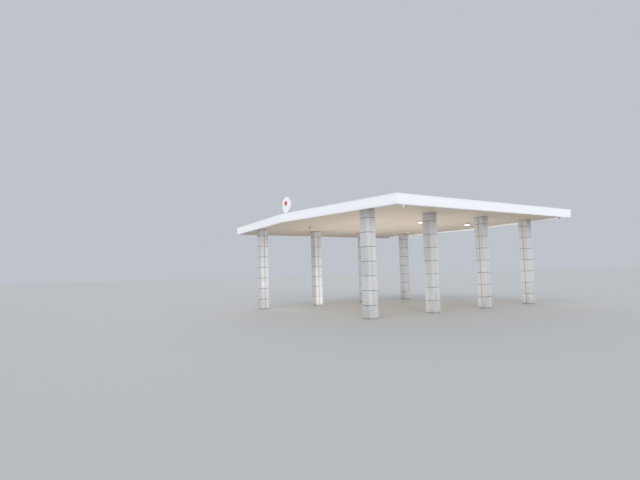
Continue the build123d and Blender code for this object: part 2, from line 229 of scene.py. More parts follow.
# Column cladding: folded trays of silver composite sheet. Each wraps one corner of the column,
# so a joint runs up the middle of every face, and they hang on the carrier frames with open
# joints between them, dark inside. No two trays hang quite alike, so each mirrors its own way.
PANEL_PITCH = 0.690
TOP_ROW = 0.385
JOINT = 0.018
TRAY_DEPTH = 0.012
FOLD = 0.003
HANG_PLAY = 0.0014
TILT = math.radians(0.16)
SILVER = (0.69, 0.69, 0.70)
SILVER_DARK, SILVER_LIGHT = (0.66, 0.66, 0.675), (0.73, 0.73, 0.74)
# Splash dirt at the foot, drawn up high as painted shade: the columns are darker towards the bottom
RAIN_DIRT, FOOT_DIRT_AND_SHADE = (0.31, 0.30, 0.29), (0.34, 0.31, 0.26)
FOOT_SHADE_FROM, FOOT_SHADE_TO = 0.05, 1.60
LINER, LINER_DARK, LINER_DUST = (0.018, 0.018, 0.020), (0.015, 0.015, 0.017), (0.06, 0.055, 0.05)
random.seed(5)


def silver_sheet():
    """Metallic coating with faint rain streaks, a foot darkened by splash dirt and by painted shade up to
    1.6 m, and the slight waves of thin sheet.
    """
    material, tree, shader = start_material("silver_sheet", SILVER, 0.42, metallic=0.15)
    shader.inputs["Coat Weight"].default_value = 0.15
    shader.inputs["Coat Roughness"].default_value = 0.32
    tone = tree.nodes.new("ShaderNodeAttribute")
    tone.attribute_name = "tone"
    sheet = mix_colours(tree, tone.outputs["Fac"], SILVER_DARK, SILVER_LIGHT)
    streaks = remap(tree, noise_on_piece(tree, 22.0, 4.0, (1, 1, 0.035)), 0.50, 0.80, 0.0, 0.24)
    patches = remap(tree, noise_on_piece(tree, 1.7, 3.0), 0.35, 0.65, 0.2, 1.0)
    dirty = mix_colours(tree, combine(tree, "MULTIPLY", streaks, patches), sheet, RAIN_DIRT)
    split = tree.nodes.new("ShaderNodeSeparateXYZ")
    tree.links.new(place_on_piece(tree), split.inputs["Vector"])
    # Painted shade with splash dirt: the sheet darkens in spots from 1.6 m down to the ground
    foot = remap(tree, split.outputs["Z"], FOOT_SHADE_FROM, FOOT_SHADE_TO, 0.45, 0.0)
    spots = remap(tree, noise_on_piece(tree, 7.0, 6.0), 0.3, 0.7, 0.1, 1.0)
    splash_and_shade = combine(tree, "MULTIPLY", foot, spots)
    tree.links.new(mix_colours(tree, splash_and_shade, dirty, FOOT_DIRT_AND_SHADE), shader.inputs["Base Color"])
    clean = remap(tree, noise_on_piece(tree, 11.0, 5.0), 0.3, 0.7, 0.35, 0.49)
    rough = combine(tree, "ADD", clean, combine(tree, "MULTIPLY", splash_and_shade, 0.3))
    tree.links.new(rough, shader.inputs["Roughness"])
    waves = noise_on_piece(tree, 3.4, 1.0)
    grain = combine(tree, "MULTIPLY", noise_on_piece(tree, 420.0, 1.0), 0.035)
    add_bump(tree, shader, combine(tree, "ADD", waves, grain), 0.0035)
    return material


def joint_backing():
    """Black inner liner behind the open joints."""
    material, tree, shader = start_material("joint_backing", LINER, 0.8)
    dust = remap(tree, noise_on_piece(tree, 6.0, 4.0), 0.4, 0.8, 0.0, 0.5)
    tree.links.new(mix_colours(tree, dust, LINER_DARK, LINER_DUST), shader.inputs["Base Color"])
    return material


def panel_rows(bottom, top):
    """Lower and upper edge of each tray, counted down from the cut row under the roof."""
    edge = top
    height = TOP_ROW
    while edge - height > bottom + PANEL_PITCH / 2:
        yield edge - height + JOINT / 2, edge
        edge -= height + JOINT / 2
        height = PANEL_PITCH - JOINT / 2
    yield bottom, edge


def side_faces(shape, centre, side, low, high):
    """A square box without top and bottom round a column's axis."""
    place = Matrix.Translation((centre.x, centre.y, (low + high) / 2))
    made = bmesh.ops.create_cube(shape, size=1, matrix=place @ Matrix.Diagonal((side, side, high - low, 1)))
    faces = {face for vert in made["verts"] for face in vert.link_faces}
    level = [face for face in faces
             if abs(face.calc_center_median().z - (low + high) / 2) > (high - low) / 4]
    bmesh.ops.delete(shape, geom=level, context="FACES_ONLY")


def cut_strip(shape, place, across, width):
    """Cuts a strip of this width out of a shape, square to the direction across."""
    for shift in (-width / 2, width / 2):
        bmesh.ops.bisect_plane(shape, geom=shape.verts[:] + shape.edges[:] + shape.faces[:], dist=1e-6,
                               plane_co=place + across * shift, plane_no=across)
    inside = [face for face in shape.faces
              if abs((face.calc_center_median() - place).dot(across)) < width / 2]
    bmesh.ops.delete(shape, geom=inside, context="FACES")


def column_panels(centre, side, bottom, top):
    """The trays of one column, each with its own shade and its own slight lean."""
    shape = bmesh.new()
    rows = list(panel_rows(bottom, top))
    for low, high in rows:
        side_faces(shape, centre, side, low, high)
    for across in (Vector((1, 0, 0)), Vector((0, 1, 0))):
        cut_strip(shape, centre, across, JOINT)
    bmesh.ops.recalc_face_normals(shape, faces=shape.faces)
    bmesh.ops.solidify(shape, geom=shape.faces[:], thickness=TRAY_DEPTH)
    outside = {vert for vert in shape.verts
               if max(abs(vert.co.x - centre.x), abs(vert.co.y - centre.y)) > side / 2 - TRAY_DEPTH / 2}
    edges = [edge for edge in shape.edges if edge.verts[0] in outside and edge.verts[1] in outside]
    bmesh.ops.bevel(shape, geom=edges, offset=FOLD, offset_type="OFFSET", segments=2, profile=0.5,
                    affect="EDGES", material=-1)
    tone = shape.verts.layers.float.new("tone")
    for low, high in rows:
        for corner in ((-1, -1), (1, -1), (1, 1), (-1, 1)):
            tray = [vert for vert in shape.verts if low - JOINT / 2 < vert.co.z < high + JOINT / 2
                    and (vert.co.x - centre.x) * corner[0] > 0 and (vert.co.y - centre.y) * corner[1] > 0]
            shade = random.random()
            for vert in tray:
                vert[tone] = shade
            inwards = Vector((-corner[0], -corner[1], 0)).normalized()
            push = random.uniform(TILT * (high - low), TILT * (high - low) + HANG_PLAY)
            bmesh.ops.translate(shape, verts=tray, vec=inwards * push)
            lean = Matrix.Rotation(random.uniform(-TILT, TILT), 3, Vector((corner[1], -corner[0], 0)))
            bmesh.ops.rotate(shape, verts=tray, cent=(centre.x, centre.y, (low + high) / 2), matrix=lean)
    return shape


silver = silver_sheet()
backing = joint_backing()
liner = bmesh.new()
for row in ("front", "back"):
    for number, centre in enumerate(column_centres(row), start=1):
        node = f"cladding_{row}_{number}"
        low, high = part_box(node)
        panels = column_panels(centre, high.x - low.x, low.z, high.z)
        add_piece(panels, f"panels_{row}_{number}", [silver], [node])
        behind = high.x - low.x - 2 * (TRAY_DEPTH + HANG_PLAY + FOLD)
        side_faces(liner, centre, behind, low.z, high.z)
bmesh.ops.recalc_face_normals(liner, faces=liner.faces)
add_piece(liner, "panel_liners", [backing])


# Plinths and collars: coated steel in a mid grey. The plinth takes the knocks and the splash
# water at the foot of a column, and the collar closes the cladding where it meets the ceiling.
TRIM_COAT, TRIM_DUST = (0.36, 0.36, 0.375), (0.27, 0.25, 0.22)


def trim_coat():
    material, tree, shader = start_material("trim_coat", TRIM_COAT, 0.48)
    dust = remap(tree, noise_on_piece(tree, 9.0, 6.0), 0.42, 0.75, 0.0, 0.6)
    tree.links.new(mix_colours(tree, dust, TRIM_COAT, TRIM_DUST), shader.inputs["Base Color"])
    tree.links.new(remap(tree, dust, 0.0, 0.55, 0.40, 0.78), shader.inputs["Roughness"])
    add_bump(tree, shader, noise_on_piece(tree, 260.0, 2.0), 0.0003)
    return material


trim = trim_coat()
for node in ("column_plinths", "column_collars"):
    finish_node(node, trim)


# White coated parts: the trims of the fascia and of the ceiling, the sign cases and the small
# cabinet are sheet steel, folded and powder-coated white, with faint dust and rain marks.
WHITE_COAT, RAIN_MARK = (0.79, 0.80, 0.82), (0.52, 0.51, 0.49)


def white_coat():
    material, tree, shader = start_material("white_coat", WHITE_COAT, 0.46)
    marks = remap(tree, noise_on_piece(tree, 14.0, 5.0, (1, 1, 0.12)), 0.52, 0.85, 0.0, 0.4)
    tree.links.new(mix_colours(tree, marks, WHITE_COAT, RAIN_MARK), shader.inputs["Base Color"])
    rough = remap(tree, noise_on_piece(tree, 5.0, 4.0), 0.3, 0.7, 0.38, 0.56)
    tree.links.new(rough, shader.inputs["Roughness"])
    add_bump(tree, shader, noise_on_piece(tree, 380.0, 1.0), 0.00025)
    return material


white = white_coat()


# Cabinet: a small white box screwed to the outer column of the back row. Its door leaf hangs
# on two hinges on the left and has a round cam lock on the right.
LOCK_RADIUS, LOCK_DEPTH = 0.011, 0.004
HINGE_RADIUS, HINGE_LENGTH = 0.005, 0.045
HINGE_SHARES = (0.2, 0.8)
DOOR_INSET = 0.016

finish_node("cabinet", white)
low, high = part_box("cabinet")
outwards = Matrix.Rotation(math.radians(90), 4, "X")
fittings = bmesh.new()
lock = Vector((high.x - DOOR_INSET - 3 * LOCK_RADIUS, low.y, (low.z + high.z) / 2))
add_prism(fittings, 24, LOCK_RADIUS, lock, LOCK_DEPTH, outwards)
add_prism(fittings, 12, LOCK_RADIUS / 2, lock - Vector((0, LOCK_DEPTH, 0)), LOCK_DEPTH / 2, outwards)
for share in HINGE_SHARES:
    height = low.z + share * (high.z - low.z) - HINGE_LENGTH / 2
    add_prism(fittings, 12, HINGE_RADIUS, (low.x + DOOR_INSET, low.y, height), HINGE_LENGTH)
add_piece(fittings, "cabinet_fittings", [fasteners])


# Roof steelwork: rolled beams on the cap plates, square tubes across them and channels round
# the edge, all bolted together and painted with the same grey primer as the posts.
for node in ("cross_beams", "purlins", "edge_frame"):
    finish_node(node, primer)


# Ceiling: long planks of warm beige coated sheet, clipped to the rails with a fine shadow gap
# between them, and a white angle where they end round the edge. Each is cut at the posts.
PLANK = 0.300
PLANK_GAP = 0.005
PLANK_EDGE = 0.002
POST_CLEAR = 0.200
LEVEL_PLAY = 0.0001
CEILING_COAT = (0.655, 0.55, 0.43)
CEILING_DARK, CEILING_LIGHT = (0.635, 0.535, 0.415), (0.67, 0.565, 0.445)
CEILING_STAIN = (0.50, 0.42, 0.33)


def ceiling_coat():
    material, tree, shader = start_material("ceiling_coat", CEILING_COAT, 0.42)
    tone = tree.nodes.new("ShaderNodeAttribute")
    tone.attribute_name = "tone"
    plank = mix_colours(tree, tone.outputs["Fac"], CEILING_DARK, CEILING_LIGHT)
    stain = remap(tree, noise_on_piece(tree, 0.9, 6.0), 0.52, 0.75, 0.0, 0.25)
    tree.links.new(mix_colours(tree, stain, plank, CEILING_STAIN), shader.inputs["Base Color"])
    rough = remap(tree, noise_on_piece(tree, 4.0, 4.0), 0.3, 0.7, 0.34, 0.52)
    tree.links.new(rough, shader.inputs["Roughness"])
    add_bump(tree, shader, noise_on_piece(tree, 2.5, 2.0), 0.002)
    return material


roof_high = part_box("fascia_coping")[1]
straight_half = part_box("fascia_front")[1].x
slant = math.atan2(roof_high.x - straight_half, roof_high.y)


def roof_corners(inset, height):
    """Corners of the roof's outline at this height, a constant distance inside its edge."""
    y = roof_high.y - inset
    tip = roof_high.x - inset / math.cos(slant)
    x = tip - y * math.tan(slant)
    outline = ((-x, -y), (x, -y), (tip, 0), (x, y), (-x, y), (-tip, 0))
    return [Vector((*point, height)) for point in outline]


def add_box(shape, low, high):
    """A box between two corners."""
    size = high - low
    made = bmesh.ops.create_cube(
        shape, size=1, matrix=Matrix.Translation((low + high) / 2) @ Matrix.Diagonal((*size, 1)))
    return made["verts"]


def nearly(first, second):
    return abs(first - second) < LEVEL_PLAY


def close_cuts(shape):
    rims = [edge for edge in shape.edges if edge.is_boundary]
    bmesh.ops.holes_fill(shape, edges=rims, sides=0)


def trim_to_outline(shape, corners):
    """Cuts off what stands past the roof's six sides and closes the cut ends."""
    for start, end in zip(corners, corners[1:] + corners[:1]):
        along = end - start
        bmesh.ops.bisect_plane(shape, geom=shape.verts[:] + shape.edges[:] + shape.faces[:], dist=1e-6,
                               plane_co=start, plane_no=(along.y, -along.x, 0), clear_outer=True)
        close_cuts(shape)


def plank_parts(left, right, length):
    """One plank as rectangles of (left, start, right, end), notched round the posts in its way."""
    posts = [centre for centre in centres if left - POST_CLEAR < centre.x < right + POST_CLEAR]
    parts = []
    start = -length
    for post in sorted(posts, key=lambda centre: centre.y):
        near, far = post.y - POST_CLEAR, post.y + POST_CLEAR
        parts.append((left, start, right, near))
        parts.append((left, near, post.x - POST_CLEAR, far))
        parts.append((post.x + POST_CLEAR, near, right, far))
        start = far
    parts.append((left, start, right, length))
    return [part for part in parts if part[2] - part[0] > PLANK_GAP]


ceiling_low, ceiling_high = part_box("ceiling")
planks = bmesh.new()
plank_tone = planks.verts.layers.float.new("tone")
count = math.ceil((ceiling_high.x - ceiling_low.x) / PLANK)
for number in range(count):
    left = (number - count / 2) * PLANK + PLANK_GAP / 2
    right = left + PLANK - PLANK_GAP
    shade = random.random()
    for part in plank_parts(left, right, ceiling_high.y):
        low, high = Vector((*part[:2], ceiling_low.z)), Vector((*part[2:], ceiling_high.z))
        for vert in add_box(planks, low, high):
            vert[plank_tone] = shade
trim_to_outline(planks, roof_corners(roof_high.y - ceiling_high.y, ceiling_low.z))
under = [edge for edge in planks.edges
         if all(nearly(vert.co.z, ceiling_low.z) for vert in edge.verts)
         and nearly(edge.verts[0].co.x, edge.verts[1].co.x)]
bmesh.ops.bevel(planks, geom=under, offset=PLANK_EDGE, offset_type="OFFSET", segments=2, profile=0.5,
                affect="EDGES", material=-1)
ceiling = ceiling_coat()
add_piece(planks, "ceiling_planks", [ceiling], ["ceiling"])
finish_node("ceiling_rails", zinc)
finish_node("ceiling_edge_trim", white)


# Roof sheet: coated steel with trapezoid ribs, screwed through its valleys to every purlin.
# Rain runs along the ribs to the gutters, and folded flashings close its slanted edges.
VALLEY_PITCH = 0.333
PURLIN_SPACING = 1.450
SHEET = 0.0012
SCREW_MARGIN = 0.25
SCREW_HEAD, SCREW_HEIGHT = 0.0055, 0.006
SEAL_RADIUS, SEAL_HEIGHT = 0.009, 0.002
ROOF_COAT, ROOF_DIRT, ROOF_RUST = (0.47, 0.49, 0.51), (0.30, 0.29, 0.27), (0.27, 0.14, 0.07)


def roof_coat():
    material, tree, shader = start_material("roof_coat", ROOF_COAT, 0.5)
    run_off = remap(tree, noise_on_piece(tree, 9.0, 5.0, (1, 0.05, 1)), 0.45, 0.75, 0.0, 0.6)
    sheet = mix_colours(tree, run_off, ROOF_COAT, ROOF_DIRT)
    rust = remap(tree, noise_on_piece(tree, 5.0, 8.0), 0.68, 0.76, 0.0, 0.8)
    tree.links.new(mix_colours(tree, rust, sheet, ROOF_RUST), shader.inputs["Base Color"])
    tree.links.new(remap(tree, run_off, 0.0, 0.6, 0.42, 0.75), shader.inputs["Roughness"])
    return material


roof_sheet = roof_coat()
for node in ("roof_deck", "end_flashings"):
    finish_node(node, roof_sheet)
finish_node("gutters", zinc)


def roof_reach(y, inset):
    """Half the length of the roof at this depth, less an inset."""
    return roof_high.x - abs(y) * math.tan(slant) - inset


def add_screw(shape, place):
    add_prism(shape, 10, SEAL_RADIUS, place, SEAL_HEIGHT)
    add_prism(shape, 6, SCREW_HEAD, place + Vector((0, 0, SEAL_HEIGHT)), SCREW_HEIGHT)


deck_low, deck_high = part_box("roof_deck")
purlin_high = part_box("purlins")[1]
sheet_screws = bmesh.new()
purlin_reach = round(purlin_high.y / PURLIN_SPACING)
valley_reach = int(deck_high.x // VALLEY_PITCH)
for line in range(-purlin_reach, purlin_reach + 1):
    for valley in range(-valley_reach, valley_reach + 1):
        x, y = valley * VALLEY_PITCH, line * PURLIN_SPACING
        if abs(x) < roof_reach(y, SCREW_MARGIN):
            add_screw(sheet_screws, Vector((x, y, deck_low.z + SHEET)))
add_piece(sheet_screws, "roof_screws", [fasteners])


# Fascia: a light box of opal acrylic sheets round the whole roof, lit evenly from inside. The
# sheets butt together behind the lips of two white trims, which are screwed to coated trays and
# straps. These close the box on its inner side and hang it on the edge channels of the roof.
SHEET_RUN = 2.1
SEAM = 0.004
SHEET_EDGE = 0.0012
COPING_SCREW_PITCH, COPING_SCREW_INSET = 0.42, 0.05
OPAL = (0.36, 0.37, 0.40)
GLOW, GLOW_WEAK = (0.96, 0.97, 1.0), (0.952, 0.963, 0.996)
GLOW_EDGE, GLOW_UNEVEN = (0.86, 0.875, 0.91), (0.92, 0.935, 0.97)
GLOW_STRENGTH = 0.545
# The inner coat is painted lighter than the ceiling's: painted light on inner faces that stand in shade
INNER_COAT_LIGHTENED, INNER_STAIN = (0.70, 0.62, 0.52), (0.58, 0.51, 0.42)


def opal_sheet():
    """Opal acrylic, lit from behind, a little darker beside the trims."""
    material, tree, shader = start_material("opal_sheet", OPAL, 0.34)
    shader.inputs["Emission Strength"].default_value = GLOW_STRENGTH
    low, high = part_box("fascia_front")
    split = tree.nodes.new("ShaderNodeSeparateXYZ")
    tree.links.new(place_on_piece(tree), split.inputs["Vector"])
    above = combine(tree, "SUBTRACT", split.outputs["Z"], (low.z + high.z) / 2)
    off = combine(tree, "ABSOLUTE", above, 0.0)
    edge = remap(tree, off, (high.z - low.z) * 0.28, (high.z - low.z) / 2, 0.0, 1.0)
    tone = tree.nodes.new("ShaderNodeAttribute")
    tone.attribute_name = "tone"
    sheet = mix_colours(tree, tone.outputs["Fac"], GLOW_WEAK, GLOW)
    shadow = mix_colours(tree, edge, sheet, GLOW_EDGE)
    uneven = remap(tree, noise_on_piece(tree, 1.1, 2.0), 0.3, 0.7, 0.0, 0.25)
    tree.links.new(mix_colours(tree, uneven, shadow, GLOW_UNEVEN), shader.inputs["Emission Color"])
    return material


def lightened_inner_coat():
    """The coat of the ceiling, carried on over the trays and the straps where they show below it, painted
    lighter than the ceiling so that these faces in shade look as lit as it.
    """
    material, tree, shader = start_material("lightened_inner_coat", INNER_COAT_LIGHTENED, 0.45)
    stain = remap(tree, noise_on_piece(tree, 3.0, 6.0), 0.42, 0.75, 0.0, 0.4)
    tree.links.new(mix_colours(tree, stain, INNER_COAT_LIGHTENED, INNER_STAIN), shader.inputs["Base Color"])
    tree.links.new(remap(tree, stain, 0.0, 0.4, 0.40, 0.60), shader.inputs["Roughness"])
    add_bump(tree, shader, noise_on_piece(tree, 2.2, 2.0), 0.002)
    return material


def face_sheets(node, start, end):
    """The acrylic sheets of one side: its face cut by seams into equal runs."""
    shape = bmesh.new()
    shape.from_mesh(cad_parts[node].data)
    bmesh.ops.remove_doubles(shape, verts=shape.verts, dist=1e-5)
    bmesh.ops.dissolve_limit(shape, angle_limit=math.radians(1), verts=shape.verts, edges=shape.edges)
    along = (end - start).normalized()
    runs = round((end - start).length / SHEET_RUN)
    for seam in range(1, runs):
        cut_strip(shape, start.lerp(end, seam / runs), along, SEAM)
    close_cuts(shape)
    bmesh.ops.bevel(shape, geom=shape.edges[:], offset=SHEET_EDGE, offset_type="OFFSET", segments=1,
                    profile=0.5, affect="EDGES", material=-1)
    for face in shape.faces:
        face.smooth = False
    tone = shape.verts.layers.float.new("tone")
    shades = [random.random() for _ in range(runs)]
    for vert in shape.verts:
        share = (vert.co - start).dot(along) / (end - start).length
        vert[tone] = shades[min(max(int(share * runs), 0), runs - 1)]
    return shape


opal = opal_sheet()
side_names = ("front", "right_front", "right_back", "back", "left_back", "left_front")
edge_corners = roof_corners(0, roof_high.z)
for name, start, end in zip(side_names, edge_corners, edge_corners[1:] + edge_corners[:1]):
    node = f"fascia_{name}"
    add_piece(face_sheets(node, start, end), f"opal_sheets_{name}", [opal], [node])
for node in ("fascia_bottom_trim", "fascia_coping"):
    finish_node(node, white)
inner_side = lightened_inner_coat()
for node in ("fascia_trays", "fascia_straps"):
    finish_node(node, inner_side)

screw_inset = roof_high.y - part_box("fascia_trays")[1].y + COPING_SCREW_INSET
screw_line = roof_corners(screw_inset, roof_high.z)
coping_screws = bmesh.new()
for start, end in zip(screw_line, screw_line[1:] + screw_line[:1]):
    steps = round((end - start).length / COPING_SCREW_PITCH)
    for step in range(steps):
        add_screw(coping_screws, start.lerp(end, (step + 0.5) / steps))
add_piece(coping_screws, "coping_screws", [fasteners])


# Edge strips: white plastic profile, clipped over the straps along the lower inside edge of the
# slanted sides, with the light of the box behind it. At the back right a length hangs loose and
# the corner has crooked remains, and a stub of it hangs down at the front left corner. The loose
# length, the torn end and the stub glow like the rest, which for them is painted light.
STRIP_HEIGHT, STRIP_THICK = 0.094, 0.006
BEAD_HEIGHT, BEAD_DEPTH = 0.012, 0.004
STRIP_INSET = 0.1105
STRIP_RISE = 0.004
STRIP_GAP = 0.003
STRIP_GLOW = 0.34
STRIP_BRIGHT, STRIP_DIM = (0.95, 0.94, 0.97), (0.86, 0.84, 0.90)
STRIP_WHITE, STRIP_LIGHT, STRIP_DARK = (0.72, 0.72, 0.73), (0.76, 0.76, 0.77), (0.66, 0.65, 0.65)
# Lengths along a side, each from and to as a share of it
WHOLE_SIDE = ((0.0, 0.25), (0.25, 0.50), (0.50, 0.75), (0.75, 1.0))
BROKEN_SIDES = {"right_front": ((0.0, 0.066), (0.083, 0.25), (0.25, 0.50), (0.50, 0.75), (0.75, 1.0)),
                "right_back": ((0.0, 0.25), (0.25, 0.50), (0.50, 0.628), (0.644, 0.752))}
LOOSE_END, LOOSE_HOLD = 0.563, 0.753
LOOSE_WIDTH = 0.038
LOOSE_TOP, LOOSE_DROP, LOOSE_BOW = 0.010, 0.275, 0.020
# Remains: from and to as a share of the side, and the rise of both ends
REMAINS = ((0.762, 0.834, 0.0, 0.006), (0.840, 0.904, 0.010, 0.0), (0.909, 0.958, -0.028, 0.012))
TORN_HOLD, TORN_TOP, TORN_END = 0.985, 0.060, Vector((-0.05, 0.03, -0.075))
STUB_PLACE, STUB_END = Vector((-6.530, -8.000, 5.090)), Vector((0.004, 0.012, -0.116))
STUB_WIDTH = 0.060


def glowing_strip():
    material, tree, shader = start_material("glowing_strip", STRIP_WHITE, 0.3)
    shader.inputs["Emission Strength"].default_value = STRIP_GLOW
    uneven = remap(tree, noise_on_piece(tree, 2.0, 3.0), 0.3, 0.7, 0.0, 1.0)
    tree.links.new(mix_colours(tree, uneven, STRIP_BRIGHT, STRIP_DIM), shader.inputs["Emission Color"])
    tree.links.new(mix_colours(tree, uneven, STRIP_LIGHT, STRIP_DARK), shader.inputs["Base Color"])
    return material


def strip_length(shape, start, end, inwards, bow=0.0, steps=1, width=STRIP_HEIGHT):
    """A flat band with a bead along its lower edge, drawn out from start to end."""
    along = end - start
    up = along.cross(inwards).normalized()
    outer = STRIP_THICK + BEAD_DEPTH
    section = ((0, 0), (STRIP_THICK, 0), (outer, BEAD_HEIGHT * 0.25), (outer, BEAD_HEIGHT * 0.75),
               (STRIP_THICK, BEAD_HEIGHT), (STRIP_THICK, width), (0, width))
    face = shape.faces.new([shape.verts.new(start + inwards * depth + up * rise) for depth, rise in section])
    for step in range(steps):
        lift = bow * 4 * (steps - 1 - 2 * step) / steps ** 2
        moved = bmesh.ops.extrude_face_region(shape, geom=[face])["geom"]
        face = next(item for item in moved if isinstance(item, bmesh.types.BMFace))
        bmesh.ops.translate(shape, verts=face.verts, vec=along / steps + up * lift)


strips = bmesh.new()
strip_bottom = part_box("fascia_bottom_trim")[0].z + STRIP_RISE
strip_corners = roof_corners(STRIP_INSET, strip_bottom)
for name, start, end in zip(side_names, strip_corners, strip_corners[1:] + strip_corners[:1]):
    if name in ("front", "back"):
        continue
    run = (end - start).normalized()
    inwards = Vector((-run.y, run.x, 0))
    for share_from, share_to in BROKEN_SIDES.get(name, WHOLE_SIDE):
        first = start.lerp(end, share_from) + run * STRIP_GAP
        strip_length(strips, first, start.lerp(end, share_to) - run * STRIP_GAP, inwards)
    if name == "right_back":
        # The loose length and the torn end glow with the same painted light, with no box behind them
        hold = start.lerp(end, LOOSE_HOLD) + Vector((0, 0, LOOSE_TOP)) + inwards * STRIP_THICK
        free = start.lerp(end, LOOSE_END) + Vector((0, 0, -LOOSE_DROP)) + inwards * STRIP_THICK
        strip_length(strips, free, hold, inwards, LOOSE_BOW, 8, LOOSE_WIDTH)
        for share_from, share_to, lift_from, lift_to in REMAINS:
            strip_length(strips, start.lerp(end, share_from) + Vector((0, 0, lift_from)),
                         start.lerp(end, share_to) + Vector((0, 0, lift_to)), inwards)
        torn = start.lerp(end, TORN_HOLD) + Vector((0, 0, TORN_TOP))
        strip_length(strips, torn, torn + TORN_END, inwards)
# The stub glows with the same painted light, with no box behind it
strip_length(strips, STUB_PLACE, STUB_PLACE + STUB_END, Vector((0, 1, 0)), width=STUB_WIDTH)
strip_white = glowing_strip()
add_piece(strips, "edge_strips", [strip_white])


# Signs: on each point of the roof a lit white oval stands on two square posts, facing outwards.
# A shallow blown dome of opal acrylic is held by a white rim, and a plain red disc stands on it.
SIGN_DOME = 0.030
DOME_STEPS = 12
RIM_WIDTH, RIM_DEPTH = 0.022, 0.012
RIM_LAP, RIM_SLOPE = 0.006, 0.004
DISC_RADIUS, DISC_DEPTH, DISC_EDGE = 0.135, 0.010, 0.004
DISC_HEIGHT = 0.10
SIGN_STEPS = 72
SIGN_DIM = (0.88, 0.91, 0.97)
SIGN_RED, RED_GLOW, RED_DIM = (0.62, 0.035, 0.03), (0.80, 0.05, 0.04), (0.66, 0.03, 0.03)
RED_STRENGTH = 0.35


def sign_acrylic():
    material, tree, shader = start_material("sign_acrylic", OPAL, 0.18)
    shader.inputs["Emission Strength"].default_value = GLOW_STRENGTH
    uneven = remap(tree, noise_on_piece(tree, 3.0, 1.0), 0.3, 0.7, 0.0, 1.0)
    tree.links.new(mix_colours(tree, uneven, GLOW, SIGN_DIM), shader.inputs["Emission Color"])
    return material


def red_acrylic():
    material, tree, shader = start_material("red_acrylic", SIGN_RED, 0.2)
    shader.inputs["Emission Strength"].default_value = RED_STRENGTH
    uneven = remap(tree, noise_on_piece(tree, 12.0, 1.0), 0.3, 0.7, 0.0, 1.0)
    tree.links.new(mix_colours(tree, uneven, RED_GLOW, RED_DIM), shader.inputs["Emission Color"])
    return material


def turned(profile, place, outward, width, height, smooth):
    """A profile of (share of the radius, depth) turned about X and drawn out to an oval."""
    shape = bmesh.new()
    verts = [shape.verts.new((depth, 0, radius)) for radius, depth in profile]
    edges = [shape.edges.new(pair) for pair in zip(verts, verts[1:])]
    bmesh.ops.spin(shape, geom=verts + edges, cent=(0, 0, 0), axis=(1, 0, 0), angle=math.tau,
                   steps=SIGN_STEPS, use_merge=True, use_duplicate=False)
    bmesh.ops.remove_doubles(shape, verts=shape.verts, dist=1e-6)
    oval = Matrix.Translation(place) @ Matrix.Diagonal((outward, width / 2, height / 2, 1))
    bmesh.ops.transform(shape, matrix=oval, verts=shape.verts)
    for face in shape.faces:
        face.smooth = smooth
    return shape


def dome_profile(thick):
    """Half a shallow dome with a flat back, from its middle over its edge to the back."""
    angles = [math.radians(90 * step / DOME_STEPS) for step in range(DOME_STEPS + 1)]
    rise = [(math.sin(angle), SIGN_DOME * math.cos(angle)) for angle in angles]
    return rise + [(1.0, -thick), (0.0, -thick)]


glow_face = sign_acrylic()
red = red_acrylic()
for name, outward in (("left", -1), ("right", 1)):
    low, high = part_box(f"sign_face_{name}")
    width, height = high.y - low.y, high.z - low.z
    place = Vector((high.x if outward > 0 else low.x, 0, (low.z + high.z) / 2))
    dome = turned(dome_profile(high.x - low.x), place, outward, width - RIM_WIDTH, height - RIM_WIDTH, True)
    add_piece(dome, f"sign_dome_{name}", [glow_face], [f"sign_face_{name}"])
    inner = 1 - 2 * RIM_WIDTH / width
    shoulder = 1 - 0.2 * (1 - inner)
    rim = turned([(inner, -RIM_LAP), (inner, RIM_DEPTH), (shoulder, RIM_DEPTH), (1.0, RIM_DEPTH - RIM_SLOPE),
                  (1.0, -RIM_LAP), (inner, -RIM_LAP)], place, outward, width, height, False)
    add_piece(rim, f"sign_rim_{name}", [white])
    disc_front = SIGN_DOME + DISC_DEPTH
    disc = turned([(0.0, 0.0), (1.0, 0.0), (1.0, disc_front - DISC_EDGE), (0.96, disc_front),
                   (0.0, disc_front)],
                  place + Vector((0, 0, DISC_HEIGHT)), outward, 2 * DISC_RADIUS, 2 * DISC_RADIUS, False)
    add_piece(disc, f"sign_disc_{name}", [red])
    finish_node(f"sign_case_{name}", white)


# Lamps: square die-cast housings in a warm grey on the ceiling, each with a drop lens of
# prismatic acrylic in a hinged frame. Only the front row is switched on. The grey of housings and
# frames is painted lighter than their own, so that their sides in shade under the ceiling look lit.
LAMP_SIDE = 0.300
FRAME_WIDTH, FRAME_DEPTH, FRAME_EDGE = 0.022, 0.010, 0.002
LENS_TAPER = math.radians(25)
LENS_CELLS = 12
PRISM_DEPTH = 0.004
LAMP_SCREW = 0.0045
# The housing grey is lightened as painted light, so the shaded sides of the housings don't read dark
LAMP_GREY_LIGHTENED, LAMP_DUST = (0.70, 0.64, 0.56), (0.54, 0.48, 0.41)
LENS_CLEAR, LENS_DUSTY = (0.80, 0.75, 0.66), (0.73, 0.67, 0.58)
LAMP_WARM, LAMP_BRIGHT = (1.0, 0.90, 0.72), (1.0, 0.95, 0.84)
LAMP_GLOW = 1.8


def lightened_die_cast_grey():
    material, tree, shader = start_material("lightened_die_cast_grey", LAMP_GREY_LIGHTENED, 0.5)
    dust = remap(tree, noise_on_piece(tree, 18.0, 5.0), 0.45, 0.75, 0.0, 0.6)
    tree.links.new(mix_colours(tree, dust, LAMP_GREY_LIGHTENED, LAMP_DUST), shader.inputs["Base Color"])
    add_bump(tree, shader, noise_on_piece(tree, 600.0, 1.0), 0.0003)
    return material


